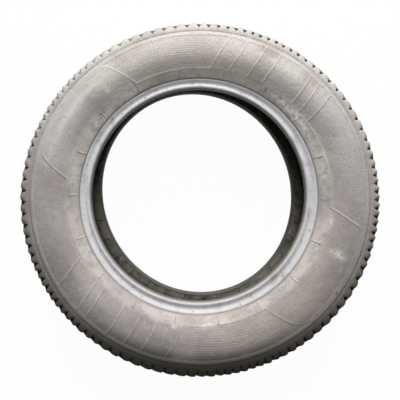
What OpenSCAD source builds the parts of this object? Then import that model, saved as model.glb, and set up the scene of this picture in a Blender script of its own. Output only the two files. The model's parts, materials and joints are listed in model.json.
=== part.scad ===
/* [Overall] */
// Outside diameter over the worn tread
overall_d = 680; // [640:1:740]
// Width across the two sidewalls at their widest
section_w = 214; // [190:1:250]

/* [Beads] */
// Diameter of the bead seats, where the wheel rim fits
bead_d = 404; // [380:1:420]
// Distance that each bead's outer face stands in from the widest ring
bead_in = 23; // [16:1:30]
// Width of one bead's base, from heel to toe
bead_w = 22; // [19:1:26]
// Radius of the heel, on the outer edge of the bead's base
heel_r = 5; // [3:0.5:7]
// Height of the flat bead face that the rim flange bears on
flange_h = 11; // [8:1:14]

/* [Casing] */
// Diameter of the widest ring of each sidewall
widest_d = 548; // [520:1:576]
// Width of the worn flat ring that the tyre lies on
rest_w = 14; // [8:1:20]
// Thickness of the sidewall at its widest
wall_t = 7; // [5:0.5:9]
// Thickness of the shoulder, below its lugs
shoulder_t = 18; // [16:0.5:22]
// Thickness of the crown, from the liner to the tread's face
crown_t = 16; // [13:0.5:20]

/* [Tread] */
// Distance that each worn edge of the tread stands in from the widest ring
tread_in = 27; // [22:1:33]
// Radius of the crown across the tread
crown_r = 700; // [500:10:1400]
// Depth of tread that the wear has left
tread_depth = 5; // [3:0.5:7]
// Number of grooves that run round the tread
groove_count = 4; // [2:1:5]
// Width of a groove that runs round the tread
groove_w = 8; // [5:0.5:10]
// Number of lugs round each shoulder
lug_count = 112; // [80:2:130]
// Width of the slot between two shoulder lugs
slot_w = 4; // [2.5:0.5:6]
// Distance from the crown in to the end of the shoulder lugs, along the radius
lug_drop = 20; // [17:1:24]
// Number of slanted cuts round each inner row of blocks
cut_count = 56; // [36:2:70]
// Width of a slanted cut
cut_w = 5; // [3:0.5:7]
// Angle of a slanted cut from the straight-across direction
cut_slant = 24; // [0:1:32]

/* [Sidewall relief] */
// Inner diameter of the moulded band on each sidewall
band_in_d = 492; // [486:1:500]
// Distance from the crown in to the outer edge of the moulded band
band_drop = 32; // [31:1:37]
// Diameter of the fitting line, just clear of the rim flange
fit_line_d = 452; // [444:1:460]
// Height of the raised lines above the sidewall
line_h = 0.9; // [0.6:0.1:1.4]
// Width of a raised line
line_w = 2; // [1.6:0.1:3]
// Angle round the tyre of each of the two barred fields
bar_field = 48; // [36:1:56]
// Angle round the tyre of each of the two bare name panels
bare_field = 48; // [36:1:56]
// Number of parallel bars inside a barred field
bar_count = 5; // [2:1:6]
// Distance from the crown in to the ring between the moulded band and the lugs
ring_drop = 26; // [25:1:28]

/* [Hidden] */
$fn = 96;

crown_rad = overall_d / 2;
bead_rad = bead_d / 2;
half_w = section_w / 2;
half_bead = half_w - bead_in;
half_tread = half_w - tread_in;
groove_pitch = 2 * half_tread / (groove_count + 1);
edge_lean = asin(half_tread / crown_r);

// Depth to which a shoulder slot is cut at the end of the lugs.
slot_foot = 3;
// Straight stretches that stand for a raised bar's curved top.
bar_steps = 5;
// How far a cutting shape reaches past the surface that it cuts.
past = 8;
// How deep a raised line is rooted in the wall.
root = 2;
// How far the sidewall falls from its widest ring to the end of the lugs.
lug_end_fall = 11.5;
// Directions in which the section runs at the end of the lugs and into the bead.
lug_end_heading = 156;
flange_heading = 190;
// Steps [outwards, upwards] from the toe to its inner corner, and from the outer
// edge of the bead's flat face, at the toe's height, to the bead's back.
toe_corner = [4, -2];
bead_back = [8, 10];
// Directions in which the liner leaves the toe and passes the bead's back.
toe_heading = 20;
back_heading = 50;
// Direction of the liner at the shoulder, and its distance in from the tread's edge.
shoulder_heading = -60;
shoulder_in = 16;

// Radius of the tread's face at a height above the middle.
function crown_at(z) = crown_rad - crown_r + sqrt(crown_r * crown_r - z * z);

// Stations of the outer surface, each a [radius, height above the middle].
crown_top = [crown_rad, 0];
tread_edge = [crown_at(half_tread), half_tread];
lug_end = [crown_rad - lug_drop, half_w - lug_end_fall];
rest_out = [(widest_d + rest_w) / 2, half_w];
rest_in = [(widest_d - rest_w) / 2, half_w];
flange_end = [bead_rad + heel_r + flange_h, half_bead];
heel_mid = [bead_rad + heel_r, half_bead - heel_r];

// Stations of the liner, inside the casing.
toe = [bead_rad, half_bead - bead_w];
toe_top = toe + toe_corner;
apex = [flange_end[0], toe[1]] + bead_back;
liner_widest = [widest_d / 2, half_w - wall_t];
liner_shoulder = [tread_edge[0] - shoulder_t, half_tread - shoulder_in];
liner_crown = [crown_rad - crown_t, 0];

// Direction in the section, as an angle from the outward radius.
function heading(a) = [cos(a), sin(a)];

// Smooth curve from p to q that leaves along a and arrives along b, as n points
// without the last: a cubic whose end tangents are as long as the chord.
function bend(p, a, q, b, n) = [
    for (i = [0 : n - 1])
        let (s = i / n, chord = norm(q - p))
            (2*s*s*s - 3*s*s + 1) * p + (s*s*s - 2*s*s + s) * chord * heading(a)
            + (3*s*s - 2*s*s*s) * q + (s*s*s - s*s) * chord * heading(b)];

// Upper half of the outer surface, from the crown down to the bead's toe.
outer_half = concat(
    bend(crown_top, 90, tread_edge, 90 + edge_lean, 3),
    bend(tread_edge, 90 + edge_lean, lug_end, lug_end_heading, 4),
    bend(lug_end, lug_end_heading, rest_out, 180, 4),
    [rest_out],
    bend(rest_in, 180, flange_end, flange_heading, 6),
    [flange_end],
    [for (a = [90 : 22.5 : 180]) heel_mid + heel_r * heading(a)],
    [toe, toe_top]);

// Upper half of the liner, from the bead's toe up to the crown.
liner_half = concat(
    bend(toe_top, toe_heading, apex, back_heading, 4),
    bend(apex, back_heading, liner_widest, 0, 6),
    bend(liner_widest, 0, liner_shoulder, shoulder_heading, 7),
    bend(liner_shoulder, shoulder_heading, liner_crown, -90, 4),
    [liner_crown]);

// The whole section: the upper half, and its mirror image on the way back.
upper_loop = concat(outer_half, [for (i = [1 : len(liner_half) - 1]) liner_half[i]]);
section_loop = concat(upper_loop,
    [for (i = [len(upper_loop) - 2 : -1 : 1]) [upper_loop[i][0], -upper_loop[i][1]]]);

// Height of the sidewall's outer face above the middle, at a radius.
wall_points = [for (p = outer_half) if (p[0] >= flange_end[0] && p[1] > half_tread) p];
function wall_z(r) = lookup(r, wall_points);
// Height of a raised line's top there, worn flush where the tyre lies.
function line_top(r) = min(wall_z(r) + line_h, half_w);

// Angles at the middle of the barred and of the bare field, from the X axis.
hatch_field = (180 - bar_field - bare_field) / 2;
bar_middle = 57;
bare_middle = bar_middle + bar_field / 2 + hatch_field + bare_field / 2;

// Carries a flat shape, drawn as [radius, height], out as a plate of a
// thickness that stands on the radius at an angle.
module on_radius(angle, thickness) {
    rotate([0, 0, angle]) rotate([90, 0, 0])
        linear_extrude(thickness, center = true) children();
}

// Repeats a shape on the upper and the lower half of the tyre.
module both_sides() {
    children();
    mirror([0, 0, 1]) children();
}

// The casing, a body of revolution from bead to bead.
module casing() {
    rotate_extrude() polygon(section_loop);
}

// Grooves that run right round the tread.
module round_grooves() {
    for (i = [1 : groove_count]) {
        z = i * groove_pitch - half_tread;
        rotate_extrude() translate([crown_at(z) - tread_depth, z - groove_w / 2])
            square([tread_depth + past, groove_w]);
    }
}

// Slots between the shoulder lugs, each open to the outermost groove.
module shoulder_slots() {
    z_in = half_tread - groove_pitch + groove_w / 2 - 1;
    for (k = [0 : lug_count - 1])
        on_radius(k * 360 / lug_count, slot_w) polygon([
            [crown_rad + past, z_in],
            [crown_at(z_in) - tread_depth, z_in],
            [tread_edge[0] - tread_depth, half_tread - 1],
            lug_end + [1, -slot_foot],
            lug_end + [-1, past],
            [crown_rad + past, half_w + past]]);
}

// Slanted cuts that part the inner rows into blocks.
module block_cuts() {
    reach = (groove_pitch - groove_w / 2) / cos(cut_slant);
    for (row = [1 : groove_count - 1], k = [0 : cut_count - 1]) {
        z = (row + 0.5) * groove_pitch - half_tread;
        side = row % 2 == 0 ? 1 : -1;
        rotate([0, 0, (k + row / 3) * 360 / cut_count])
            translate([crown_at(z) - tread_depth, 0, z]) rotate([side * cut_slant, 0, 0])
                translate([0, -cut_w / 2, -reach / 2])
                    cube([tread_depth + past, cut_w, reach]);
    }
}

// A raised line right round the sidewall, at a radius.
module raised_ring(r) {
    rotate_extrude() translate([r - line_w / 2, wall_z(r) - root])
        square([line_w, line_top(r) - wall_z(r) + root]);
}

// A raised bar across the moulded band. It lies off a field's middle by an
// angle, and parallel with the radius there.
module raised_bar(field_middle, off) {
    r_in = band_in_d / 2;
    r_out = crown_rad - band_drop;
    r_mid = (r_in + r_out) / 2;
    rs = [for (i = [0 : bar_steps]) r_in + (r_out - r_in) * i / bar_steps];
    top = [for (r = rs) [r, line_top(r)]];
    foot = [for (i = [bar_steps : -1 : 0]) [rs[i], wall_z(rs[i]) - root]];
    rotate([0, 0, field_middle + off]) translate([r_mid, 0, 0]) rotate([0, 0, -off])
        translate([-r_mid, 0, 0]) on_radius(0, line_w) polygon(concat(top, foot));
}

// The moulded lines of one sidewall: its rings, the bars of its barred fields
// with the field's own borders first and last, and the bare panels' borders.
module relief() {
    for (d = [fit_line_d, band_in_d]) raised_ring(d / 2);
    for (drop = [band_drop, ring_drop]) raised_ring(crown_rad - drop);
    for (half = [0, 180]) {
        for (k = [0 : bar_count + 1])
            raised_bar(half + bar_middle, (k / (bar_count + 1) - 0.5) * bar_field);
        for (side = [-1, 1]) raised_bar(half + bare_middle, side * bare_field / 2);
    }
}

// The whole tyre, lying on its side.
module tyre() {
    color([0.33, 0.32, 0.31]) translate([0, 0, half_w]) union() {
        difference() {
            casing();
            round_grooves();
            both_sides() shoulder_slots();
            block_cuts();
        }
        both_sides() relief();
    }
}

tyre();
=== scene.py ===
import json
import math

import bpy
import numpy as np
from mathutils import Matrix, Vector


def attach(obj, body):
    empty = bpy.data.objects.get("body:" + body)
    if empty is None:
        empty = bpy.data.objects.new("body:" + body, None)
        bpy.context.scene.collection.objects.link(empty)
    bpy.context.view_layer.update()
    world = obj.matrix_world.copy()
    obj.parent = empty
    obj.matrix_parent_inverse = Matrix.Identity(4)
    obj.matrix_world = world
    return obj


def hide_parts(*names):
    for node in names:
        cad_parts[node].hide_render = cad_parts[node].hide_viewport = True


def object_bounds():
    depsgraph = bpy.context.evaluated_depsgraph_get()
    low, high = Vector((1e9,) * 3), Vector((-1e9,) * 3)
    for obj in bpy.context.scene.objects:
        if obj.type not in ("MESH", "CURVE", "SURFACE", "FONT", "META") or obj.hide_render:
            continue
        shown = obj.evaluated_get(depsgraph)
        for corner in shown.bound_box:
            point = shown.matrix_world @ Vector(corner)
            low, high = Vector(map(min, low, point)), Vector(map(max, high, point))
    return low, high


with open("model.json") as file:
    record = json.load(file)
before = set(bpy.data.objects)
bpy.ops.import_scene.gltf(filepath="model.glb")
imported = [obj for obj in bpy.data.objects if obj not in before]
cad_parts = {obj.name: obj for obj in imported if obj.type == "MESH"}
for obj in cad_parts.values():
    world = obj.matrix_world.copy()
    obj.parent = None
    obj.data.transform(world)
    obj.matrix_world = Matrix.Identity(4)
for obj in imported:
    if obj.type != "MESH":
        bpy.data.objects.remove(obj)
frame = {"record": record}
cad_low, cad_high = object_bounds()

# Camera. It looks straight down the wheel axis from one and a half metres above the tyre's
# middle, a little off the axis, with the tyre's lit side at the top of the view.
middle = (cad_high.z + cad_low.z) / 2
view_height = 1.5
eye = np.array([-0.012, 0.041, middle + view_height])
aim_y = -0.0009
lens = bpy.data.cameras.new("camera")
lens.sensor_width = 36
lens.lens = 67.9
camera = bpy.data.objects.new("camera", lens)
bpy.context.scene.collection.objects.link(camera)
camera.location = eye
camera.rotation_euler = (math.atan2(aim_y - eye[1], view_height),
                         math.atan2(eye[0], view_height), 0)
bpy.context.scene.camera = camera

# Studio. A plain white floor under a pale sky, a broad soft lamp low beyond the +Y edge of the
# tyre and a weak one high above it; the floor shows itself pale and keeps the tyre's shadow.
bpy.context.scene.view_settings.view_transform = "Standard"


def node(tree, kind, inputs=(), **settings):
    """A new shader node. inputs pairs a socket's name or number with a value or another socket."""
    made = tree.nodes.new(kind)
    for key, value in settings.items():
        setattr(made, key, value)
    for key, value in dict(inputs).items():
        if isinstance(value, bpy.types.NodeSocket):
            tree.links.new(value, made.inputs[key])
        else:
            made.inputs[key].default_value = value
    return made


def seen_directly(tree):
    """1 for rays from the camera, a mirror or clear glass, and 0 for rays that only carry light."""
    path = node(tree, "ShaderNodeLightPath")
    either = node(tree, "ShaderNodeMath", {0: path.outputs["Is Camera Ray"],
                  1: path.outputs["Is Glossy Ray"]}, operation="MAXIMUM")
    return node(tree, "ShaderNodeMath", {0: either.outputs[0],
                1: path.outputs["Is Transmission Ray"]}, operation="MAXIMUM").outputs[0]


def floor_material():
    """Pale paper: most of what the eye sees is plain white, and the rest takes light and shadow."""
    material = bpy.data.materials.new("floor_white")
    material.use_nodes = True
    tree = material.node_tree
    tree.nodes.clear()
    share = node(tree, "ShaderNodeMath", {0: seen_directly(tree), 1: 0.93}, operation="MULTIPLY")
    paper = node(tree, "ShaderNodeBsdfDiffuse", {"Color": (0.3, 0.3, 0.3, 1)})
    white = node(tree, "ShaderNodeEmission", {"Color": (1, 1, 1, 1), "Strength": 1.05})
    mix = node(tree, "ShaderNodeMixShader", {0: share.outputs[0], 1: paper.outputs[0],
               2: white.outputs[0]})
    node(tree, "ShaderNodeOutputMaterial", {"Surface": mix.outputs[0]})
    return material


bpy.ops.mesh.primitive_circle_add(vertices=64, radius=12, fill_type="NGON")
floor = bpy.context.object
floor.name = "floor"
floor.data.materials.append(floor_material())

sky = bpy.data.worlds.new("sky")
sky.use_nodes = True
sky.node_tree.nodes.clear()
dim = node(sky.node_tree, "ShaderNodeBackground", {"Color": (1, 1, 1, 1), "Strength": 0.15})
bright = node(sky.node_tree, "ShaderNodeBackground", {"Color": (1, 1, 1, 1), "Strength": 1.0})
blend = node(sky.node_tree, "ShaderNodeMixShader", {0: seen_directly(sky.node_tree),
             1: dim.outputs[0], 2: bright.outputs[0]})
node(sky.node_tree, "ShaderNodeOutputWorld", {"Surface": blend.outputs[0]})
bpy.context.scene.world = sky


def soft_lamp(name, place, size, power):
    """A square area lamp at a place, turned towards the middle of the tyre."""
    data = bpy.data.lights.new(name, "AREA")
    data.size = size
    data.energy = power
    lamp = bpy.data.objects.new(name, data)
    bpy.context.scene.collection.objects.link(lamp)
    away = np.array(place) - np.array([0, 0, middle])
    lamp.location = place
    lamp.rotation_euler = (math.acos(away[2] / np.linalg.norm(away)), 0,
                           math.atan2(away[0], -away[1]))


soft_lamp("key_lamp", (0.1, 2.4, 1.08), 1.9, 124)
soft_lamp("high_lamp", (0.1, 1.5, 2.6), 1.2, 15)

# Sidewalls. Each is the moulded outer skin of the tyre from the shoulder down to the bead:
# fields of fine hatching, bars and bare panels inside raised lines, a dusty lower wall,
# and a bead rubbed pale and shiny by the wheel rim, its pale band partly a painted highlight.
# Their colour also holds painted light towards the +Y edge and painted shade towards -Y.
outer_rad = (cad_high.x - cad_low.x) / 2
half_w = (cad_high.z - cad_low.z) / 2
seat = next(m for m in frame["record"]["mounts"] if m["name"] == "bead_seat_top")
bead_rad = seat["dims"]["r_mm"] / 1000
heel_r = 0.005
half_bead = seat["pos_m"][2] + seat["dims"]["length_mm"] / 2000 + heel_r - middle
bead_w = 0.022
half_tread = 0.08
crown_r = 1.2
crown_t = 0.016
line_h = 0.0009
shoulder_join = 0.3152
outer_ring_rad = 0.3102
collar_rad = 0.3160
collar_h = 0.0009
collar_half = 0.0026


def bend(p, a, q, b, n=24):
    """n points from p towards q: the cubic that leaves at angle a and arrives at angle b,
    in degrees, with end tangents as long as the chord from p to q."""
    p, q, s = np.array(p), np.array(q), np.linspace(0, 1, n, endpoint=False)[:, None]
    chord = np.linalg.norm(q - p)
    leave = chord * np.array([math.cos(math.radians(a)), math.sin(math.radians(a))])
    arrive = chord * np.array([math.cos(math.radians(b)), math.sin(math.radians(b))])
    return ((2 * s**3 - 3 * s**2 + 1) * p + (s**3 - 2 * s**2 + s) * leave
            + (3 * s**2 - 2 * s**3) * q + (s**3 - s**2) * arrive)


def crown_at(z):
    """Radius of the tread's face at a height above the middle: an arc of radius crown_r."""
    return outer_rad - crown_r + np.sqrt(crown_r**2 - z**2)


edge_lean = math.degrees(math.asin(half_tread / crown_r))
tread_edge = (crown_at(half_tread), half_tread)
lug_end = (0.32, half_w - 0.0115)
widest = (0.274, half_w - line_h)
low_wall = (0.2435, 0.0993)
rim_line = (0.2228, 0.0884)
valley = (0.2130, half_bead)
flange_end = (bead_rad + heel_r + 0.011, half_bead)
heel_turn = np.radians(np.linspace(90, 180, 9))
heel = np.stack([bead_rad + heel_r + heel_r * np.cos(heel_turn),
                 half_bead - heel_r + heel_r * np.sin(heel_turn)], 1)
toe = (bead_rad, half_bead - bead_w)
toe_top = (bead_rad + 0.004, half_bead - bead_w - 0.002)

outer_line = np.concatenate([
    bend((outer_rad, 0), 90, tread_edge, 90 + edge_lean),
    bend(tread_edge, 90 + edge_lean, lug_end, 156),
    bend(lug_end, 156, widest, 180),
    bend(widest, 180, low_wall, 200), bend(low_wall, 206, rim_line, 208),
    bend(rim_line, 206, valley, 186), [valley], heel, [toe, toe_top]])
liner_line = np.concatenate([
    [toe], bend(toe_top, 20, (flange_end[0] + 0.008, half_bead - bead_w + 0.01), 50),
    bend((flange_end[0] + 0.008, half_bead - bead_w + 0.01), 50, (widest[0], half_w - 0.007), 0),
    bend((widest[0], half_w - 0.007), 0, (tread_edge[0] - 0.018, half_tread - 0.016), -60),
    bend((tread_edge[0] - 0.018, half_tread - 0.016), -60, (outer_rad - crown_t, 0), -90),
    [(outer_rad - crown_t, 0)]])


def lengths(line):
    """Distance along a line of [radius, height] points, from its first point."""
    return np.concatenate([[0], np.cumsum(np.linalg.norm(np.diff(line, axis=0), axis=1))])


def on_line(line, along):
    """Places and left-out normals on a line of [radius, height] points, at distances along it.
    The normal is the tangent turned a quarter clockwise, smoothed over a millimetre."""
    far = lengths(line)
    place = np.stack([np.interp(along, far, line[:, k]) for k in (0, 1)], -1)
    ahead = np.stack([np.interp(along + 0.001, far, line[:, k]) for k in (0, 1)], -1)
    behind = np.stack([np.interp(along - 0.001, far, line[:, k]) for k in (0, 1)], -1)
    tangent = ahead - behind
    tangent /= np.linalg.norm(tangent, axis=-1, keepdims=True)
    return place, np.stack([tangent[..., 1], -tangent[..., 0]], -1)


def smooth(value, low, high):
    """0 below low, 1 above high, and a cubic ease between them."""
    t = np.clip((value - low) / (high - low), 0, 1)
    return t * t * (3 - 2 * t)


def ridge(distance, width):
    """Cross-section of a moulded line: a raised cosine, 1 at its middle and 0 past its width."""
    return np.where(np.abs(distance) < width, 0.5 + 0.5 * np.cos(np.pi * distance / width), 0)


def mottle(points, size, seed, waves=28):
    """Smooth random field of about unit spread: a sum of plane waves of random direction and
    phase, whose lengths lie round size, in metres."""
    rng = np.random.default_rng(seed)
    way = rng.normal(size=(waves, 3))
    way *= (2 * np.pi / size) * rng.uniform(0.6, 1.5, (waves, 1)) / np.linalg.norm(
        way, axis=1, keepdims=True)
    phase = rng.uniform(0, 2 * np.pi, waves)
    total = sum(np.cos(points @ way[k] + phase[k]) for k in range(waves))
    return total * math.sqrt(2 / waves)


# How far the years have moved each part, in metres [+X, +Y]: both beads, then what the lower
# bead and the bead's inner edge add to that; and the lower bead's oval, long way and short way.
bead_shift = (-0.0028, 0.0072)
low_shift = (-0.0022, 0.0014)
lean_shift = (-0.0010, 0.0018)
oval = (0.038, -0.032)
oval_turn = math.radians(20)


def slump(points):
    """Sets the years of lying about into the shape: the tread ring is a little flatter than it
    is wide and worn two millimetres more on the +Y side, the beads and the shoulders sit off its
    centre, the lower bead is pulled oval along a line that stands 20 degrees off +Y, and the
    sidewalls sag in places by a millimetre or two."""
    x, y, z = points[..., 0], points[..., 1], points[..., 2]
    bead = 1 - smooth(np.hypot(x, y), bead_rad + 0.01, 0.325)
    low = bead * (1 - smooth(z, middle - 0.06, middle + 0.05))
    long_x, long_y = -math.sin(oval_turn), math.cos(oval_turn)
    stretch = oval[0] * low * (x * long_x + y * long_y)
    shrink = oval[1] * low * (x * long_y - y * long_x)
    drag = ridge(np.hypot(x, y) - 0.310, 0.028)
    lean = 1 - smooth(np.hypot(x, y), 0.206, 0.222)
    shift_x = (stretch * long_x + shrink * long_y + bead_shift[0] * bead + low_shift[0] * low
               + lean_shift[0] * lean + 0.004 * x * drag)
    shift_y = (stretch * long_y - shrink * long_x + bead_shift[1] * bead + low_shift[1] * low
               + lean_shift[1] * lean + (0.0030 - 0.004 * y) * drag)
    dent = 0.0006 * np.clip(1 + mottle(points, 0.35, 11), 0, None)
    sag = bead * (1 - bead) * 4 * dent * np.sign(middle - z)
    scrub = 0.006 * smooth(y, -0.04, 0.20) * smooth(np.hypot(x, y), 0.325, 0.335)
    wide, flat = 1 + 0.004 * (1 - bead) - scrub, 1 - 0.009 + 0.002 * bead - scrub
    return np.stack([x * wide + shift_x, y * flat + shift_y, z + sag], -1)


def revolve(place, turn):
    """Points of a grid, rows by columns: [radius, height above the middle] at an angle round +Z."""
    radius, height = place[..., 0], place[..., 1]
    return np.stack([radius * np.cos(turn), radius * np.sin(turn), height + middle], -1)


def ring_piece(name, points, turn, along, masks, material, sharp=None):
    """Mesh of a grid of points that closes on itself both down its rows and round its columns.
    masks are attributes with one value a point, and the map "skin" holds the distance round the
    tyre and the distance along the section, in metres."""
    rows, cols = points.shape[:2]
    index = np.arange(rows * cols).reshape(rows, cols)
    corners = [index, np.roll(index, -1, 1), np.roll(np.roll(index, -1, 1), -1, 0),
               np.roll(index, -1, 0)]
    turn_next = np.roll(turn, -1, -1) + np.where(np.arange(cols) == cols - 1, 2 * np.pi, 0)
    around = [turn, turn_next, np.roll(turn_next, -1, 0), np.roll(turn, -1, 0)]
    down = [along, along, np.roll(along, -1, 0), np.roll(along, -1, 0)]
    faces = np.stack(corners, -1).reshape(-1, 4)
    skin = np.stack([np.stack([a * widest[0], d], -1) for a, d in zip(around, down)], 2)
    mesh = bpy.data.meshes.new(name)
    mesh.from_pydata(points.reshape(-1, 3).tolist(), [], faces.tolist())
    mesh.polygons.foreach_set("use_smooth", np.ones(len(faces), bool))
    mesh.uv_layers.new(name="skin").data.foreach_set("uv", skin.astype(np.float32).ravel())
    for key, value in masks.items():
        layer = mesh.attributes.new(key, "FLOAT", "POINT")
        layer.data.foreach_set("value", np.broadcast_to(value, (rows, cols)).astype(
            np.float32).ravel())
    if sharp:
        mesh.set_sharp_from_angle(angle=math.radians(sharp))
    piece = bpy.data.objects.new(name, mesh)
    bpy.context.scene.collection.objects.link(piece)
    mesh.materials.append(material)
    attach(piece, "root")
    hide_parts("tyre")


# Each line across the band is (angle at mid band, lean from the radial direction), in degrees.
# A barred field is a pair of borders, its middle and its bars; a panel is a pair of borders. A
# scuff is (angle, radius, half its length round the tyre, half its width, strength).
barred_fields = [((37.3, 16.5), (82.3, -22.0), 59.8, (75.0, 67.6, 61.3, 47.2, 42.9)),
                 ((209.1, 22.0), (260.0, -21.0), 235.5, (250.2, 243.1, 235.5, 225.1, 220.8))]
scuffs = [(-22, 0.2770, 0.008, 0.014, 0.8), (-10, 0.2480, 0.010, 0.005, 0.5),
          (122, 0.2330, 0.011, 0.004, 0.8), (43, 0.2370, 0.038, 0.0042, 1.4),
          (-85, 0.2400, 0.036, 0.002, 0.5), (-101, 0.2460, 0.006, 0.004, 0.5),
          (130, 0.2620, 0.004, 0.004, 0.4), (57, 0.2920, 0.080, 0.006, 0.3),
          (146, 0.2890, 0.085, 0.006, 0.35), (138, 0.2350, 0.070, 0.009, 0.5),
          (172, 0.2360, 0.022, 0.006, 0.4), (20, 0.2400, 0.004, 0.006, 0.6),
          (42, 0.2345, 0.080, 0.009, 0.6), (8, 0.2355, 0.050, 0.007, 0.3)]
bare_panels = [((121.8, 26.0), (167.6, -33.0)), ((304.9, 31.0), (352.5, -26.0))]
band_in, band_out = 0.2438, 0.3082
band_sway = 0.0020
band_mid = (band_in + band_out) / 2
panel_out = 0.3055
panel_corner = 0.009
tick_count = 18
tick_half = 0.0011
first_tick = -math.radians(1)
toe_bulge_rad = 0.2064
flange_bulge_rad = 0.2192


def leaning(turn, radius, angle, lean):
    """Distance in metres, measured round the tyre, from a straight line that crosses the middle
    of the band at an angle and leans from the radial direction there."""
    start = math.radians(angle) + (radius - band_mid) * math.tan(math.radians(lean)) / band_mid
    gap = (turn - start + np.pi) % (2 * np.pi) - np.pi
    return gap * radius


def inside_corner(first, second, corner):
    """Depth inside two edges that meet in a rounded corner: the lesser of the two depths, or
    near the corner the depth inside its arc."""
    arc = corner - np.hypot(corner - first, corner - second)
    return np.where((first < corner) & (second < corner), arc, np.minimum(first, second))


def moulding(turn, radius, points, side, seed):
    """Relief of a sidewall in metres, and the masks that its finish needs. The relief is a sum
    of raised cosines for lines, rings and ticks, less the hatched fields and the grooves, plus
    fine cracks. The masks follow it, or a direction round the tyre, through eased steps."""
    near = radius - band_in - band_sway * np.cos(2 * turn)
    inside = smooth(near, -0.001, 0.001) * (1 - smooth(radius, band_out - 0.001, band_out + 0.001))
    plain, lines = 0, 0
    for first, last, field_middle, bars in barred_fields:
        start, end = leaning(turn, radius, *first), leaning(turn, radius, *last)
        plain = plain + smooth(start, -0.0012, 0.0012) * smooth(-end, -0.0012, 0.0012)
        lines = lines + ridge(start, 0.0016) + ridge(end, 0.0016)
        for angle in bars:
            lines = lines + ridge(leaning(turn, radius, angle, 0.95 * (field_middle - angle)), 0.0018)
    for first, last in bare_panels:
        sides = np.minimum(leaning(turn, radius, *first) * math.cos(math.radians(first[1])),
                           -leaning(turn, radius, *last) * math.cos(math.radians(last[1])))
        panel = inside_corner(sides, panel_out - radius, panel_corner)
        plain = plain + smooth(panel, -0.0012, 0.0012)
        lines = lines + ridge(panel, 0.0015)
    lines = np.clip(lines, 0, 1) * inside
    hatch = inside * (1 - np.clip(plain, 0, 1))
    rings = ridge(near, 0.0016) * (1 - np.clip(plain, 0, 1)) + 0.5 * ridge(radius - band_out, 0.0014)
    height = line_h * np.clip(lines + 0.8 * rings, 0, 1) - 0.0003 * hatch
    height = height + 0.0003 * ridge(radius - outer_ring_rad, 0.0040)
    collar = ridge(radius - collar_rad, collar_half)
    rim_gap = ridge(radius - rim_line[0], 0.0013)
    bead_gap = ridge(radius - valley[0], 0.0018)
    height = height - collar_h * collar - 0.0009 * rim_gap - 0.0003 * bead_gap
    height = height + 0.0014 * ridge(radius - toe_bulge_rad, 0.0054)
    height = height + 0.0003 * ridge(radius - flange_bulge_rad, 0.0036)
    step = 2 * np.pi / tick_count
    tick = ((turn - first_tick + step / 2) % step - step / 2) * radius
    ticks = ridge(tick, tick_half) * smooth(radius, 0.2255, 0.2265) * (
        1 - smooth(radius, 0.2405, 0.2415))
    height = height + 0.0008 * ticks
    cracks = 0.00006 * mottle(points * np.array([1, 1, 3]), 0.010, seed)
    height = height + cracks * smooth(radius, 0.225, 0.24)
    # How far a point lies towards the +Y edge, where the key lamp stands: 1 there, -1 at -Y.
    lamp_side = side * np.sin(turn)
    washed = 0.006 * np.clip(-lamp_side, 0, 1) * np.sin(2 * turn)**2
    lower_wall = smooth(radius, 0.2245, 0.2265) * (1 - smooth(near + washed, -0.005, 0.010))
    cloud = mottle(points, 0.09, seed + 1)
    dust = lower_wall * smooth(cloud, -2.4, 0.6) + 0.35 * inside * smooth(cloud, 0.7, 2.2)
    height_up = points[..., 2] - middle
    # The bead seat and toe, which the finish makes dark.
    seat = (1 - smooth(height_up, half_bead - 0.005, half_bead - 0.001)) * (radius < 0.215)
    # Painted highlight: every raised line and ring is made paler, as if it caught the light.
    crest = np.clip(lines + 0.6 * rings + 0.7 * ridge(radius - outer_ring_rad, 0.0035), 0, 1)
    scuff = sum(strength * np.exp(-(leaning(turn, radius, angle, 0) / long)**2
                                  - ((radius - spot) / wide)**2)
                for angle, spot, long, wide, strength in scuffs)
    outwards = (0.42 * smooth(radius, 0.226, 0.232) + 0.53 * smooth(radius, 0.258, 0.304)
                - 0.3 * smooth(radius, 0.307, 0.311))
    # Painted light: the outward-facing wall is made paler towards the +Y edge, where the lamp falls.
    painted_light = smooth(lamp_side, -0.65, 0.8) * outwards * smooth(cloud, -2.6, 0.2)
    # Painted shade: the outer wall is made dark towards the -Y edge, which faces away from the lamp.
    painted_shade = smooth(-lamp_side, 0.6, 1.02) * smooth(radius, 0.280, 0.311)
    rubbed = smooth(radius, 0.2035, 0.2050) * (1 - smooth(radius, 0.2214, 0.2228))
    # The bead's pale band is partly real rub and partly a painted highlight, brighter towards +Y.
    rub_and_highlight = rubbed * (0.84 + 0.16 * lamp_side)
    # Painted shade: the grooves at the rim line, bead and collar, and the raised ticks, are made dark.
    gap = np.clip(rim_gap + 0.35 * bead_gap + 0.3 * collar + 0.5 * ticks, 0, 1)
    return height, {"hatch": hatch, "dust": dust, "rub_and_highlight": rub_and_highlight, "seat": seat, "crest": crest,
                    "gap": gap, "scuff": scuff, "painted_light": painted_light, "painted_shade": painted_shade}


def columns(count):
    """Angles round a sidewall: evenly spaced, but three times as close in the barred fields and
    over the panels' borders, and with four columns of their own across each radial tick."""
    fine = np.linspace(0, 2 * np.pi, 20000, endpoint=False)
    deg = np.degrees(fine)
    close = sum(smooth(deg, first[0] - 7, first[0] - 3) * (1 - smooth(deg, last[0] + 3, last[0] + 7))
                for first, last, field_middle, bars in barred_fields)
    border = sum(ridge(deg - angle, 6) for panel in bare_panels for angle, lean in panel)
    density = 1 + 2.0 * np.clip(close + border, 0, 1)
    total = np.concatenate([[0], np.cumsum(density)])
    ticks = np.arange(tick_count) * 2 * np.pi / tick_count + first_tick
    extra = (ticks[:, None] + np.array([-1.1, -0.4, 0.4, 1.1]) * 0.001 / 0.234).ravel()
    even = np.interp(np.linspace(0, total[-1], count - len(extra), endpoint=False), total,
                     np.append(fine, 2 * np.pi))
    return np.sort(np.concatenate([even, extra % (2 * np.pi)]))


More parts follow.
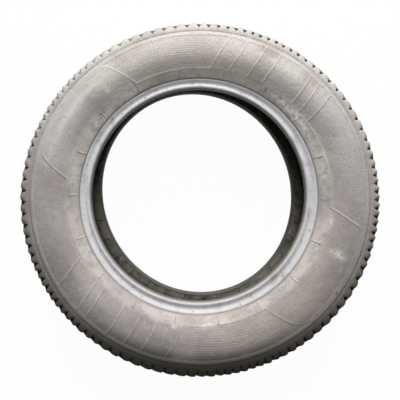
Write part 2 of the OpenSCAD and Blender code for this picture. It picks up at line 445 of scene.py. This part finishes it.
outer_far = lengths(outer_line)
upper_part = outer_line[:, 1] > half_tread * 0.99


def far_at(radius):
    """Distance along the outer line at which the sidewall reaches a radius."""
    return np.interp(-radius, -outer_line[upper_part, 0], outer_far[upper_part])


def sidewall_rows():
    """Distances along the outer line for the rows of a sidewall, closest over the fine relief."""
    stops = [(shoulder_join, 9, 0.307), (0.307, 32, 0.2500), (0.2500, 6, 0.2425),
             (0.2425, 8, 0.2265), (0.2265, 18, 0.2065)]
    rows = [np.linspace(far_at(a), far_at(b), n, endpoint=False) for a, n, b in stops]
    return np.concatenate(rows + [np.linspace(far_at(stops[-1][2]), outer_far[-1], 13)])


def mask(tree, name):
    """A mesh attribute as a value."""
    return node(tree, "ShaderNodeAttribute", attribute_name=name).outputs["Fac"]


def mixed(tree, share, first, second):
    """A colour that is first where share is 0 and second where it is 1."""
    made = node(tree, "ShaderNodeMix", data_type="RGBA")
    for number, value in ((0, share), (6, first), (7, second)):
        if isinstance(value, bpy.types.NodeSocket):
            tree.links.new(value, made.inputs[number])
        else:
            made.inputs[number].default_value = value
    return made.outputs[2]


def maths(tree, kind, first, second=0.5):
    """A sum, product or other operation on two values."""
    return node(tree, "ShaderNodeMath", {0: first, 1: second}, operation=kind).outputs[0]


def noise(tree, vector, scale, detail=4, rough=0.6):
    """Fractal noise from 0 to 1, mostly between 0.3 and 0.7."""
    return node(tree, "ShaderNodeTexNoise", {"Vector": vector, "Scale": scale, "Detail": detail,
                "Roughness": rough}).outputs["Fac"]


def ramp(tree, value, low, high):
    """0 below low, 1 above high, and a smooth step between them."""
    return node(tree, "ShaderNodeMapRange", {"Value": value, "From Min": low, "From Max": high},
                interpolation_type="SMOOTHSTEP").outputs["Result"]


def stripes(tree, vector, lean, pitch):
    """Rows of soft ridges at a lean in degrees from the way round, a pitch apart in metres."""
    turned = node(tree, "ShaderNodeMapping", {"Vector": vector,
                  "Rotation": (0, 0, math.radians(lean))})
    return node(tree, "ShaderNodeTexWave", {"Vector": turned.outputs["Vector"],
                "Scale": 0.314 / pitch}, wave_type="BANDS", bands_direction="Y").outputs["Fac"]


def weathered(tree, place):
    """Colour of old sidewall rubber: grey-brown, clouded, blotched darker and patched paler,
    painted paler towards the +Y edge as light and painted dark towards the -Y edge as shade."""
    hue = mixed(tree, ramp(tree, noise(tree, place, 3, 2), 0.4, 0.6), (0.388, 0.352, 0.344, 1),
                (0.400, 0.354, 0.306, 1))
    colour = mixed(tree, ramp(tree, noise(tree, place, 9), 0.3, 0.7), (0.285, 0.254, 0.240, 1), hue)
    blotch = maths(tree, "MULTIPLY", ramp(tree, noise(tree, place, 26, 3), 0.5, 0.72), 0.5)
    colour = mixed(tree, blotch, colour, (0.240, 0.218, 0.212, 1))
    pale = maths(tree, "MULTIPLY", ramp(tree, noise(tree, place, 75), 0.5, 0.75), 0.5)
    colour = mixed(tree, pale, colour, (0.47, 0.435, 0.41, 1))
    # Painted light: paler towards the +Y edge.
    painted_light = maths(tree, "MULTIPLY", mask(tree, "painted_light"), 0.55)
    colour = mixed(tree, painted_light, colour, (0.62, 0.59, 0.56, 1))
    speck = maths(tree, "MULTIPLY", ramp(tree, noise(tree, place, 260, 2), 0.5, 0.72), 0.5)
    colour = mixed(tree, speck, colour, (0.20, 0.18, 0.175, 1))
    # Painted shade: near black towards the -Y edge.
    painted_shade = maths(tree, "MULTIPLY", mask(tree, "painted_shade"), 0.95)
    return mixed(tree, painted_shade, colour, (0.045, 0.044, 0.033, 1))


def sidewall_material():
    """Weathered sidewall rubber: matt, dusty low down, scuffed along the way it rolls, hatched in
    its fields, paler on every raised line as a painted highlight, dark in its grooves and on its
    ticks as painted shade, rubbed pale and shiny at the bead, where the pale band is partly a
    painted highlight, and darker on the bead seat inside it."""
    material = bpy.data.materials.new("weathered_sidewall")
    material.use_nodes = True
    tree = material.node_tree
    tree.nodes.clear()
    place = node(tree, "ShaderNodeTexCoord").outputs["Object"]
    skin = node(tree, "ShaderNodeUVMap", uv_map="skin").outputs["UV"]
    streak = node(tree, "ShaderNodeMapping", {"Vector": skin, "Scale": (9, 420, 1)})
    colour = weathered(tree, place)
    scuffs = ramp(tree, noise(tree, streak.outputs["Vector"], 1, 3, 0.5), 0.55, 0.8)
    colour = mixed(tree, maths(tree, "MULTIPLY", scuffs, 0.12), colour, (0.48, 0.45, 0.43, 1))
    pips = maths(tree, "MULTIPLY", stripes(tree, skin, 4, 0.0046), stripes(tree, skin, 98, 0.0034))
    pips = maths(tree, "MULTIPLY", pips, mask(tree, "hatch"))
    pips = maths(tree, "MULTIPLY", pips, ramp(tree, noise(tree, place, 12, 2), 0.2, 0.6))
    colour = mixed(tree, maths(tree, "MULTIPLY", pips, 0.35), colour, (0.47, 0.44, 0.43, 1))
    dirt = maths(tree, "MULTIPLY", mask(tree, "dust"),
                 ramp(tree, noise(tree, place, 55, 6, 0.7), 0.27, 0.58))
    colour = mixed(tree, maths(tree, "MULTIPLY", dirt, 0.75), colour, (0.60, 0.555, 0.50, 1))
    # Painted highlight on the raised lines and rings.
    colour = mixed(tree, maths(tree, "MULTIPLY", mask(tree, "crest"), 0.42), colour,
                   (0.52, 0.49, 0.46, 1))
    scuff = maths(tree, "MULTIPLY", mask(tree, "scuff"), ramp(tree, noise(tree, place, 110), 0.3, 0.6))
    colour = mixed(tree, scuff, colour, (0.88, 0.85, 0.79, 1))
    # Painted shade in the grooves and on the ticks.
    gap = maths(tree, "MULTIPLY", mask(tree, "gap"), 0.7)
    colour = mixed(tree, gap, colour, (0.07, 0.063, 0.056, 1))
    # Painted highlight with real rub: the bead's pale, slightly blue band.
    shine = maths(tree, "MULTIPLY", mask(tree, "rub_and_highlight"), ramp(tree, noise(tree, place, 40), 0.1, 0.55))
    colour = mixed(tree, maths(tree, "MULTIPLY", shine, 0.9), colour, (0.72, 0.725, 0.745, 1))
    # The bead seat and toe are made dark.
    darkening = maths(tree, "MULTIPLY", mask(tree, "seat"), 0.85)
    colour = mixed(tree, darkening, colour, (0.085, 0.080, 0.064, 1))
    rough = node(tree, "ShaderNodeMapRange", {"Value": shine, "To Min": 0.75,
                 "To Max": 0.34}).outputs["Result"]
    grain = maths(tree, "ADD", maths(tree, "MULTIPLY", noise(tree, place, 900, 3), 0.25),
                  maths(tree, "MULTIPLY", pips, 1.0))
    bump = node(tree, "ShaderNodeBump", {"Height": grain, "Strength": 0.5, "Distance": 0.0006})
    shader = node(tree, "ShaderNodeBsdfPrincipled", {"Base Color": colour, "Roughness": rough,
                  "Normal": bump.outputs["Normal"], "Specular IOR Level": 0.5})
    node(tree, "ShaderNodeOutputMaterial", {"Surface": shader.outputs[0]})
    return material


sidewall_finish = sidewall_material()
# The hidden back of a sidewall's skin, from the toe out to the shoulder: [radius, height].
sidewall_back = [(0.2085, 0.0625), (0.224, 0.0745), (0.242, 0.0925), (0.262, 0.1025),
                 (0.285, 0.1005), (0.300, 0.089), (0.3120, 0.080)]


def sidewall(name, side, seed):
    """A sidewall's skin, side +1 for the upper and -1 for the lower one: the outer line from the
    shoulder to the toe, raised along its normal by the moulding, and closed inside the rubber."""
    along = sidewall_rows()
    place, out = on_line(outer_line, along)
    turn = columns(1060)
    grid_turn = np.broadcast_to(turn, (len(along), len(turn)))
    radius = place[:, :1]
    flat = revolve(place[:, None, :] * np.ones((1, len(turn), 1)), grid_turn)
    height, masks = moulding(grid_turn, radius, flat, side, seed)
    skin_place = place[:, None, :] + height[..., None] * out[:, None, :]
    back = np.array(sidewall_back)
    back_place = np.broadcast_to(back[:, None, :], (len(back), len(turn), 2))
    points = revolve(np.concatenate([skin_place, back_place]),
                     np.broadcast_to(turn, (len(along) + len(back), len(turn))))
    if side < 0:
        points = points * np.array([1, -1, -1]) + np.array([0, 0, 2 * middle])
    rows = len(points)
    masks = {k: np.concatenate([v * np.ones((len(along), len(turn))),
                                np.zeros((len(back), len(turn)))]) for k, v in masks.items()}
    full_along = np.concatenate([along, np.full(len(back), along[-1])])
    ring_piece(name, slump(points), np.broadcast_to(turn, (rows, len(turn))),
               np.broadcast_to(full_along[:, None], (rows, len(turn))), masks, sidewall_finish)


sidewall("upper_sidewall", 1, 21)
sidewall("lower_sidewall", -1, 43)

# Tread. It is moulded in one with the casing: shoulder lugs in three pitch lengths parted by
# wedge-shaped slots, and inner rows of blocks parted by slanted cuts and fine zigzag sipes.
# It is shown as three rings, a shoulder, the crown and a shoulder, that meet in round grooves.
lug_total = 112
tread_depth = 0.005
groove_half = 0.004
groove_wall = 0.0005
grooves = np.array([-0.048, -0.016, 0.016, 0.048])
join_far = far_at(shoulder_join)
slot_wall = 0.0003
edge_round = 0.0014
sipe_half = 0.00045
sipe_depth = 0.0022
lug_columns = 14
slot_floor = [1, 2]
sipe_floors = [6, 10]
block_slant = math.tan(math.radians(24))


def lug_starts():
    """Angles at which the lugs start: long, middle and short pitches in five waves round the
    tyre, scaled to fill one turn."""
    wave = np.cos(5 * 2 * np.pi * np.arange(lug_total) / lug_total - math.radians(160))
    size = np.where(wave > 0.45, 1.2, np.where(wave < -0.35, 0.86, 1.0))
    return np.concatenate([[0], np.cumsum(size)]) * 2 * np.pi / size.sum()


def across(t):
    """Places and outward normals on the whole outer line, at distances t up from its middle."""
    place, out = on_line(outer_line, np.abs(t))
    side = np.where(t < 0, -1.0, 1.0)[:, None] * np.array([0, 1]) + np.array([1, 0])
    return place * side, out * side


def slot_offset(t):
    """Distance round the tyre from a lug's start to its slot at a height t along the section:
    straight stretches across each row, joined inside the round grooves."""
    inner = 0.012 * block_slant
    stops = np.array([-0.110, -0.080, -0.052, -0.044, -0.020, -0.012, 0.012, 0.020, 0.044, 0.052,
                      0.080, 0.110])
    offsets = np.array([0.0080, 0.0072, -0.0040, 0.0045 + inner, 0.0045 - inner, 0.0020 - inner,
                        0.0020 + inner, 0.0005 + inner, 0.0005 - inner, -0.0112, 0, 0.0008])
    return np.interp(t, stops, offsets)


def slot_half(t, main):
    """Half the width of the slots: widest at the tread's edge and a thin tail at the lugs' end;
    in the inner rows every other slot is a narrow one."""
    shoulder = np.interp(np.abs(t), [0.052, 0.072, 0.080, 0.090, 0.097, 0.1015],
                         [0.0019, 0.0025, 0.0030, 0.0030, 0.0021, 0.0007])
    inner = np.where(main, 0.0021, 0.0009)
    return np.where(np.abs(t) > 0.048, shoulder, inner)


def slot_depth(t, main):
    """Depth of the slots: a millimetre or two deeper at the tread's edge than across the tread,
    and shallow at the lugs' end; the narrow inner ones are half as deep."""
    shoulder = np.interp(np.abs(t), [0.052, 0.076, 0.084, 0.091, 0.097, 0.1012],
                         [0.005, 0.0065, 0.0080, 0.0066, 0.0040, 0.0])
    inner = np.where(main, tread_depth, 0.0026)
    return np.where(np.abs(t) > 0.048, shoulder, inner)


def tread_ring(name, t, back, seed):
    """A ring of tread between two heights along the section. Each lug has 14 columns: four at its
    slot, one at each rounded end, three at each sipe and two between. Its face is lowered by the
    slot, the sipes, the round grooves and the wear that domes it, whichever is deepest; some
    grooves hold a wear bar. Towards the -Y edge the slots are half full of mud."""
    rng = np.random.default_rng(seed)
    start = lug_starts()
    pitch = np.diff(start)[None, :] * outer_rad
    t = t[:, None]
    main = (np.arange(lug_total) % 2 == 0)[None, :]
    half = slot_half(t, main) * rng.uniform(0.92, 1.08, (1, lug_total))
    half_next = np.roll(half, -1, 1)
    land = pitch - half - half_next - 2 * edge_round
    zig = 0.0007 * (np.abs((t / 0.004) % 2 - 1) * 2 - 1)
    low, high = half + edge_round, pitch - half_next - edge_round
    first = low + 0.33 * land + zig
    second = low + 0.67 * land + zig
    spots = [-half, -half + slot_wall, half - slot_wall, half, low, first - sipe_half, first,
             first + sipe_half, low + 0.5 * land, second - sipe_half, second,
             second + sipe_half, low + 0.86 * land, high]
    spots = np.stack(np.broadcast_arrays(*spots), -1)
    middle_of_land = (0.5 * (low + high))[..., None]
    v = np.clip((spots - middle_of_land) / (0.5 * (high - low)[..., None] + edge_round), -1, 1)
    column = np.arange(lug_columns)
    v = np.where(column < 3, 1, v)
    edge = np.interp(np.abs(t), [0.070, 0.080, 0.090, 0.096, 0.101],
                     [0.0003, 0.0024, 0.0022, 0.0012, 0.0])
    angle = start[:-1][None, :, None] + (slot_offset(t)[..., None] + spots) / outer_rad
    mud = smooth(-np.sin(angle), 0.75, 1.05)
    dome = edge[..., None] * np.abs(v) ** 2.2 * (1 - 0.5 * mud)
    slot = slot_depth(t, main)[..., None] * np.isin(column, slot_floor) * (1 - 0.55 * mud)
    sipe_here = sipe_depth * (1 - smooth(np.abs(t), 0.083, 0.086))
    worn_out = rng.uniform(0.35, 1.0, (1, lug_total))
    sipe = (sipe_here * worn_out)[..., None] * np.isin(column, sipe_floors)
    from_groove = np.min(np.abs(t[..., None] - grooves), -1)
    bar = np.where(np.arange(lug_total) % 19 == 4, 0.0016, 0.0)[None, :]
    groove = (tread_depth - bar) * (1 - smooth(from_groove, groove_half - groove_wall,
                                               groove_half))
    depth = np.maximum(np.maximum(dome, slot), np.maximum(sipe, groove[..., None]))
    uneven = 0.0005 * rng.uniform(-1, 1, (1, lug_total))[..., None]
    depth = depth + uneven * (1 - smooth(np.abs(t), 0.094, 0.10))[..., None] * (v < 1)
    place, out = across(t[:, 0])
    collar = collar_h * ridge(place[:, 0] - collar_rad, collar_half)
    depth = np.maximum(depth, collar[:, None, None])
    rows = len(t)
    depth, angle = depth.reshape(rows, -1), angle.reshape(rows, -1)
    skin = place[:, None, :] - depth[..., None] * out[:, None, :]
    back = np.array(back)
    ends = np.linspace(1, 0, len(back))[:, None]
    back_angle = ends * angle[-1:] + (1 - ends) * angle[:1]
    back_place = np.broadcast_to(back[:, None, :], (len(back), angle.shape[1], 2))
    points = revolve(np.concatenate([skin, back_place]), np.concatenate([angle, back_angle]))
    shade = np.broadcast_to(rng.uniform(0, 1, (1, lug_total, 1)), (rows, lug_total, lug_columns))
    rub = np.clip(1 - depth / 0.0006, 0, 1) * (np.abs(v) > 0.8).reshape(rows, -1)
    wall = np.broadcast_to(smooth(np.abs(t), 0.090, 0.102), depth.shape)
    shoulder = smooth(np.abs(t), 0.058, 0.074)
    # Painted light: paler towards the +Y edge, most on the shoulders, where the key lamp falls.
    painted_light = smooth(np.sin(angle + math.radians(10)), -0.7, 0.5) * (
        0.1 + 0.9 * shoulder - 0.35 * smooth(np.abs(t), 0.098, 0.104)) * (
        1 - 0.3 * smooth(np.sin(angle), 0.75, 1.0))
    # Painted shade: dark towards the -Y edge, which faces away from the key lamp.
    painted_shade = smooth(-np.sin(angle), 0.3, 1.05) * (0.35 + 0.65 * shoulder)
    # The depth mask paints shade into the slots, grooves and sipes: the deeper, the darker.
    masks = {"deep": np.clip(depth / 0.0045, 0, 1), "rub": rub, "wall": wall, "painted_light": painted_light,
             "painted_shade": painted_shade, "shade": shade.reshape(rows, -1) * (1 - painted_shade)}
    masks = {k: np.concatenate([m, np.zeros((len(back), angle.shape[1]))])
             for k, m in masks.items()}
    along = np.concatenate([t[:, 0], np.full(len(back), t[-1, 0])])
    ring_piece(name, slump(points), np.concatenate([angle, back_angle]),
               np.broadcast_to(along[:, None], (len(along), angle.shape[1])), masks,
               tread_finish, sharp=32)


def tread_material():
    """Weathered tread rubber: olive grey and matt, a little different from lug to lug, like the
    sidewall where the shoulder turns into it, paler towards +Y as painted light, near black
    towards -Y as painted shade, and near black deep in its slots as painted shade, less so
    towards +Y."""
    material = bpy.data.materials.new("weathered_tread")
    material.use_nodes = True
    tree = material.node_tree
    tree.nodes.clear()
    place = node(tree, "ShaderNodeTexCoord").outputs["Object"]
    colour = mixed(tree, ramp(tree, noise(tree, place, 14), 0.3, 0.7), (0.158, 0.151, 0.108, 1),
                   (0.250, 0.240, 0.180, 1))
    moss = maths(tree, "MULTIPLY", ramp(tree, noise(tree, place, 60, 5, 0.7), 0.5, 0.72), 0.4)
    colour = mixed(tree, moss, colour, (0.19, 0.22, 0.11, 1))
    dust = maths(tree, "MULTIPLY", ramp(tree, noise(tree, place, 190, 4, 0.7), 0.48, 0.7), 0.3)
    colour = mixed(tree, dust, colour, (0.40, 0.37, 0.32, 1))
    colour = mixed(tree, maths(tree, "MULTIPLY", mask(tree, "rub"), 0.3), colour,
                   (0.42, 0.41, 0.38, 1))
    # Painted light: paler towards the +Y edge.
    colour = mixed(tree, maths(tree, "MULTIPLY", mask(tree, "painted_light"), 0.68), colour,
                   (0.54, 0.52, 0.475, 1))
    # Painted shade: near black towards the -Y edge.
    colour = mixed(tree, maths(tree, "MULTIPLY", mask(tree, "painted_shade"), 0.95), colour,
                   (0.042, 0.038, 0.024, 1))
    colour = mixed(tree, mask(tree, "wall"), colour, weathered(tree, place))
    colour = mixed(tree, maths(tree, "MULTIPLY", mask(tree, "shade"), 0.3), colour,
                   (0.22, 0.21, 0.18, 1))
    # Painted shade in the slots, grooves and sipes, weaker towards the +Y edge.
    darkening = maths(tree, "SUBTRACT", 0.95, maths(tree, "MULTIPLY", mask(tree, "painted_light"), 0.6))
    deep = maths(tree, "MULTIPLY", ramp(tree, mask(tree, "deep"), 0.12, 0.55), darkening)
    colour = mixed(tree, deep, colour, (0.008, 0.008, 0.006, 1))
    grain = maths(tree, "ADD", noise(tree, place, 800, 3), noise(tree, place, 240, 3))
    bump = node(tree, "ShaderNodeBump", {"Height": grain, "Strength": 0.35, "Distance": 0.0007})
    shader = node(tree, "ShaderNodeBsdfPrincipled", {"Base Color": colour, "Roughness": 0.85,
                  "Normal": bump.outputs["Normal"], "Specular IOR Level": 0.15})
    node(tree, "ShaderNodeOutputMaterial", {"Surface": shader.outputs[0]})
    return material


tread_finish = tread_material()


def steps(*stretches):
    """Rows of a ring of tread: each stretch is (start, end, step), without its end."""
    return np.concatenate([np.arange(a, b - 1e-6, s) for a, b, s in stretches])


shoulder_rows = np.append(steps((0.0480, 0.0516, 0.0034), (0.0516, 0.0524, 0.0007),
                                (0.0535, 0.0775, 0.0022), (0.0775, 0.1048, 0.0013),
                                (0.1060, join_far, 0.0009)), join_far)
block_rows = steps((0.0205, 0.0225, 0.0012), (0.0228, 0.0420, 0.0022), (0.0424, 0.0445, 0.0011))
centre_rows = steps((-0.0118, -0.0100, 0.0012), (-0.0094, 0.0094, 0.0021),
                    (0.0100, 0.0120, 0.0012))
groove_rows = np.array([0.0124, 0.0196, 0.0200])
crown_half = np.concatenate([groove_rows, block_rows, [0.0448, 0.0480]])
crown_rows = np.concatenate([-crown_half[::-1], centre_rows, crown_half])
shoulder_back = [(0.3120, 0.080), (0.3205, 0.062), (0.3265, 0.048)]
crown_back = [(0.3265, 0.048), (0.327, 0), (0.3265, -0.048)]

tread_ring("upper_shoulder", shoulder_rows, shoulder_back, 5)
tread_ring("lower_shoulder", -shoulder_rows[::-1],
           [(r, -h) for r, h in shoulder_back[::-1]], 6)
tread_ring("tread_crown", crown_rows, crown_back, 7)

# Liner. The airtight inner skin runs from bead to bead. The press's bladder leaves slanting
# raised lines across it; rain has left it dark, with brown silt where it lies low.
bladder_lines = 33
line_columns = 20
bladder_lean = math.tan(math.radians(-20))
bladder_line_h = 0.0006
bead_stretch = 0.034
liner_back = 0.0016


def liner_grid():
    """The liner's points, angles, distances and masks. Rows run along the section from one toe
    to the other, closer near the beads; columns follow the bladder's slanting raised lines."""
    half = liner_line[1:]
    whole = np.concatenate([half, half[-2::-1] * np.array([1, -1])])
    far = lengths(whole)
    along = np.concatenate([np.linspace(0, bead_stretch, 18, endpoint=False),
                            np.linspace(bead_stretch, far[-1] - bead_stretch, 34, endpoint=False),
                            np.linspace(far[-1] - bead_stretch, far[-1], 18)])
    place, out = on_line(whole, along)
    unit = 2 * np.pi / bladder_lines
    arm = 0.0012 / 0.25
    local = np.concatenate([[-arm, -arm / 3, arm / 3, arm],
                            np.linspace(arm, unit - arm, line_columns - 2)[1:-1]])
    turn = (np.arange(bladder_lines)[:, None] * unit + local).ravel()
    lean = bladder_lean * np.minimum(along, far[-1] - along) / 0.25
    angle = turn[None, :] + lean[:, None]
    raised = np.tile(np.isin(np.arange(line_columns), [1, 2]), bladder_lines)[None, :]
    height = bladder_line_h * raised
    flat = revolve(np.broadcast_to(place[:, None, :], (len(along), len(turn), 2)), angle)
    dents = 0.0004 * mottle(flat, 0.05, 71)
    fade = smooth(along, 0, 0.003) * smooth(far[-1] - along, 0, 0.003)
    skin = place[:, None, :] + ((height + dents) * fade[:, None])[..., None] * out[:, None, :]
    rear = np.arange(len(along) - 1, -1, -4)
    rear_place = place[rear] - liner_back * out[rear]
    rear_place = np.broadcast_to(rear_place[:, None, :], (len(rear), len(turn), 2))
    points = revolve(np.concatenate([skin, rear_place]), np.concatenate([angle, angle[rear]]))
    # The raised lines' mask; the liner's finish paints them near black as shade.
    crest = np.concatenate([raised * fade[:, None], np.zeros((len(rear), len(turn)))])
    full_along = np.broadcast_to(np.append(along, along[rear])[:, None], points.shape[:2])
    full_turn = np.concatenate([angle, angle[rear]])
    # Dust near the beads, mostly on the -Y side where light comes in through the hole: partly dust,
    # partly painted light.
    silt = 1 - smooth(np.minimum(full_along, far[-1] - full_along), 0.015, 0.040)
    silt = silt * smooth(-np.sin(full_turn), -0.6, 0.3)
    return points, full_turn, full_along, {"crest": crest, "silt": silt}


def liner_material():
    """Old liner rubber: dark olive with a faint sheen, pale near the beads on the -Y side with
    dust and painted light, brown with dried silt in patches, and black along its raised lines
    as painted shade."""
    material = bpy.data.materials.new("stained_liner")
    material.use_nodes = True
    tree = material.node_tree
    tree.nodes.clear()
    place = node(tree, "ShaderNodeTexCoord").outputs["Object"]
    skin = node(tree, "ShaderNodeUVMap", uv_map="skin").outputs["UV"]
    runs = node(tree, "ShaderNodeMapping", {"Vector": skin, "Scale": (260, 30, 1)})
    colour = mixed(tree, ramp(tree, noise(tree, place, 12), 0.35, 0.7), (0.034, 0.033, 0.026, 1),
                   (0.095, 0.089, 0.072, 1))
    silt = maths(tree, "MULTIPLY", ramp(tree, noise(tree, place, 38, 6, 0.7), 0.42, 0.66), 0.5)
    colour = mixed(tree, silt, colour, (0.20, 0.18, 0.14, 1))
    # Pale near the beads on the -Y side: dust and painted light.
    dust_and_painted_light = maths(tree, "MULTIPLY", mask(tree, "silt"), ramp(tree, noise(tree, place, 50, 5), 0.2, 0.6))
    colour = mixed(tree, maths(tree, "MULTIPLY", dust_and_painted_light, 0.95), colour, (0.50, 0.47, 0.38, 1))
    drips = maths(tree, "MULTIPLY", ramp(tree, noise(tree, runs.outputs["Vector"], 1, 3), 0.5,
                                         0.75), 0.35)
    colour = mixed(tree, drips, colour, (0.16, 0.15, 0.13, 1))
    # Painted shade: the raised bladder lines are made near black.
    colour = mixed(tree, maths(tree, "MULTIPLY", ramp(tree, mask(tree, "crest"), 0.1, 0.6), 0.75),
                   colour, (0.018, 0.017, 0.014, 1))
    bump = node(tree, "ShaderNodeBump", {"Height": noise(tree, place, 500, 4), "Strength": 0.3,
                "Distance": 0.0007})
    shader = node(tree, "ShaderNodeBsdfPrincipled", {"Base Color": colour, "Roughness": 0.6,
                  "Normal": bump.outputs["Normal"], "Specular IOR Level": 0.35})
    node(tree, "ShaderNodeOutputMaterial", {"Surface": shader.outputs[0]})
    return material


liner_points, liner_turn, liner_along, liner_masks = liner_grid()
ring_piece("liner", slump(liner_points), liner_turn, liner_along, liner_masks, liner_material())

# Vent stubs. Thin whiskers of rubber that the mould's vents leave, worn down to dark stubs, in
# rings on the bead, on the lower wall and round the widest part of each sidewall.
stub_radius = 0.0008
# Each ring is (radius, number of stubs, their height, angle of the first in degrees).
stub_rings = [(0.2110, 28, 0.0014, 3.0), (0.2180, 14, 0.0016, 9.0), (0.2405, 18, 0.0011, -1.0),
              (0.2738, 14, 0.0004, 0.0), (0.3085, 28, 0.0009, 4.0)]


def stub_material():
    """Torn rubber ends, darker than the wall round them."""
    material = bpy.data.materials.new("torn_stub")
    material.use_nodes = True
    tree = material.node_tree
    tree.nodes.clear()
    place = node(tree, "ShaderNodeTexCoord").outputs["Object"]
    colour = mixed(tree, ramp(tree, noise(tree, place, 300), 0.4, 0.65), (0.03, 0.03, 0.028, 1),
                   (0.12, 0.11, 0.10, 1))
    shader = node(tree, "ShaderNodeBsdfPrincipled", {"Base Color": colour, "Roughness": 0.7})
    node(tree, "ShaderNodeOutputMaterial", {"Surface": shader.outputs[0]})
    return material


def strips(centre, axes, reach):
    """Vertices and faces of many small closed six-sided rods. Rod i has rings at centre[i, k]
    with radius reach[i, k] in the plane of axes[i, 0] and axes[i, 1]; the ends are flat."""
    count, rings = reach.shape
    turn = np.arange(6) * np.pi / 3
    circle = np.cos(turn)[:, None] * axes[:, None, 0, None, :] + np.sin(turn)[
        :, None] * axes[:, None, 1, None, :]
    verts = centre[:, :, None, :] + reach[:, :, None, None] * circle
    base = np.arange(count)[:, None, None] * rings * 6
    low = np.arange(rings - 1)[None, :, None] * 6
    k = np.arange(6)[None, None, :]
    sides = np.stack([base + low + k, base + low + (k + 1) % 6, base + low + 6 + (k + 1) % 6,
                      base + low + 6 + k], -1).reshape(-1, 4)
    first = (base[:, 0] + np.arange(5, -1, -1)[None, :]).tolist()
    last = (base[:, 0] + (rings - 1) * 6 + np.arange(6)[None, :]).tolist()
    return verts.reshape(-1, 3), sides.tolist() + first + last


def small_piece(name, verts, faces, material):
    """Mesh of many loose closed shapes, shaded flat."""
    mesh = bpy.data.meshes.new(name)
    mesh.from_pydata(verts.tolist(), [], faces)
    piece = bpy.data.objects.new(name, mesh)
    bpy.context.scene.collection.objects.link(piece)
    mesh.materials.append(material)
    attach(piece, "root")
    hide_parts("tyre")


def vent_stubs(name, side, seed):
    """Rings of stubs on one sidewall, each standing on the skin and rooted a millimetre in it."""
    rng = np.random.default_rng(seed)
    radius = np.concatenate([np.full(n, r) for r, n, tall, first in stub_rings])
    tall = np.concatenate([np.full(n, tall) for r, n, tall, first in stub_rings])
    angle = np.radians(np.concatenate([first + np.arange(n) * 360 / n
                                       for r, n, tall, first in stub_rings]))
    angle = angle + rng.normal(0, 0.008, len(angle))
    place, out = on_line(outer_line, far_at(radius))
    rise = np.stack([np.full(len(tall), -0.001), 0.6 * tall, tall * rng.uniform(
        0.8, 1.2, len(tall))], 1)
    centre = place[:, None, :] + rise[..., None] * out[:, None, :]
    centre = revolve(centre, np.broadcast_to(angle[:, None], rise.shape))
    along = np.stack([-np.sin(angle), np.cos(angle), 0 * angle], 1)
    normal = np.stack([out[:, 0] * np.cos(angle), out[:, 0] * np.sin(angle), out[:, 1]], 1)
    axes = np.stack([along, np.cross(normal, along)], 1)
    reach = stub_radius * rng.uniform(0.8, 1.15, (len(tall), 1)) * np.array([1.1, 1.0, 0.7])
    verts, faces = strips(centre, axes, reach)
    if side < 0:
        verts = verts * np.array([1, -1, -1]) + np.array([0, 0, 2 * middle])
    small_piece(name, slump(verts), faces, stub_finish)


stub_finish = stub_material()
vent_stubs("upper_vent_stubs", 1, 31)
vent_stubs("lower_vent_stubs", -1, 32)

# Stuck straw. Bits of dry grass, caught in the mud on the lower bead's inner slope. A spot is
# (angle round the tyre, spread, both in degrees, and the number of stalks).
straw_spots = [(-12, 20, 10), (-35, 7, 6), (-86, 14, 9), (-140, 20, 4)]


def straw_material():
    """Dry grass, pale straw to grey brown."""
    material = bpy.data.materials.new("dry_straw")
    material.use_nodes = True
    tree = material.node_tree
    tree.nodes.clear()
    place = node(tree, "ShaderNodeTexCoord").outputs["Object"]
    colour = mixed(tree, ramp(tree, noise(tree, place, 70), 0.35, 0.65), (0.30, 0.26, 0.19, 1),
                   (0.62, 0.58, 0.48, 1))
    shader = node(tree, "ShaderNodeBsdfPrincipled", {"Base Color": colour, "Roughness": 0.8})
    node(tree, "ShaderNodeOutputMaterial", {"Surface": shader.outputs[0]})
    return material


def stuck_straw(name, seed):
    """Short bent stalks that lie on the lower half of the liner, pressed half into its silt:
    each is a rod of four rings along a gently bowed line on the surface."""
    rng = np.random.default_rng(seed)
    angle = np.radians(np.concatenate([rng.normal(mid, spread / 2, n)
                                       for mid, spread, n in straw_spots]))
    count = len(angle)
    far = rng.uniform(0.004, 0.020, count)
    way = rng.uniform(0, np.pi, count)
    length = rng.uniform(0.004, 0.013, count)
    bow = rng.normal(0, 0.12, count) * length
    s = np.linspace(-0.5, 0.5, 4)[None, :]
    ahead = s * length[:, None]
    aside = bow[:, None] * (1 - 4 * s**2)
    run = far[:, None] + ahead * np.sin(way)[:, None] + aside * np.cos(way)[:, None]
    turn = angle[:, None] + (ahead * np.cos(way)[:, None] - aside * np.sin(way)[:, None]) / 0.21
    place, out = on_line(liner_line[1:], run)
    centre = revolve(place + 0.0006 * out, turn)
    centre[..., 2] = 2 * middle - centre[..., 2]
    stalk = centre[:, -1] - centre[:, 0]
    stalk /= np.linalg.norm(stalk, axis=1, keepdims=True)
    up = np.broadcast_to([0, 0, 1.0], stalk.shape)
    first = np.cross(up, stalk)
    first /= np.linalg.norm(first, axis=1, keepdims=True)
    axes = np.stack([first, np.cross(stalk, first)], 1)
    reach = rng.uniform(0.00025, 0.0006, (count, 1)) * np.array([0.6, 1, 0.95, 0.5])
    verts, faces = strips(slump(centre), axes, reach)
    small_piece(name, verts, faces, straw_material())


stuck_straw("stuck_straw", 77)
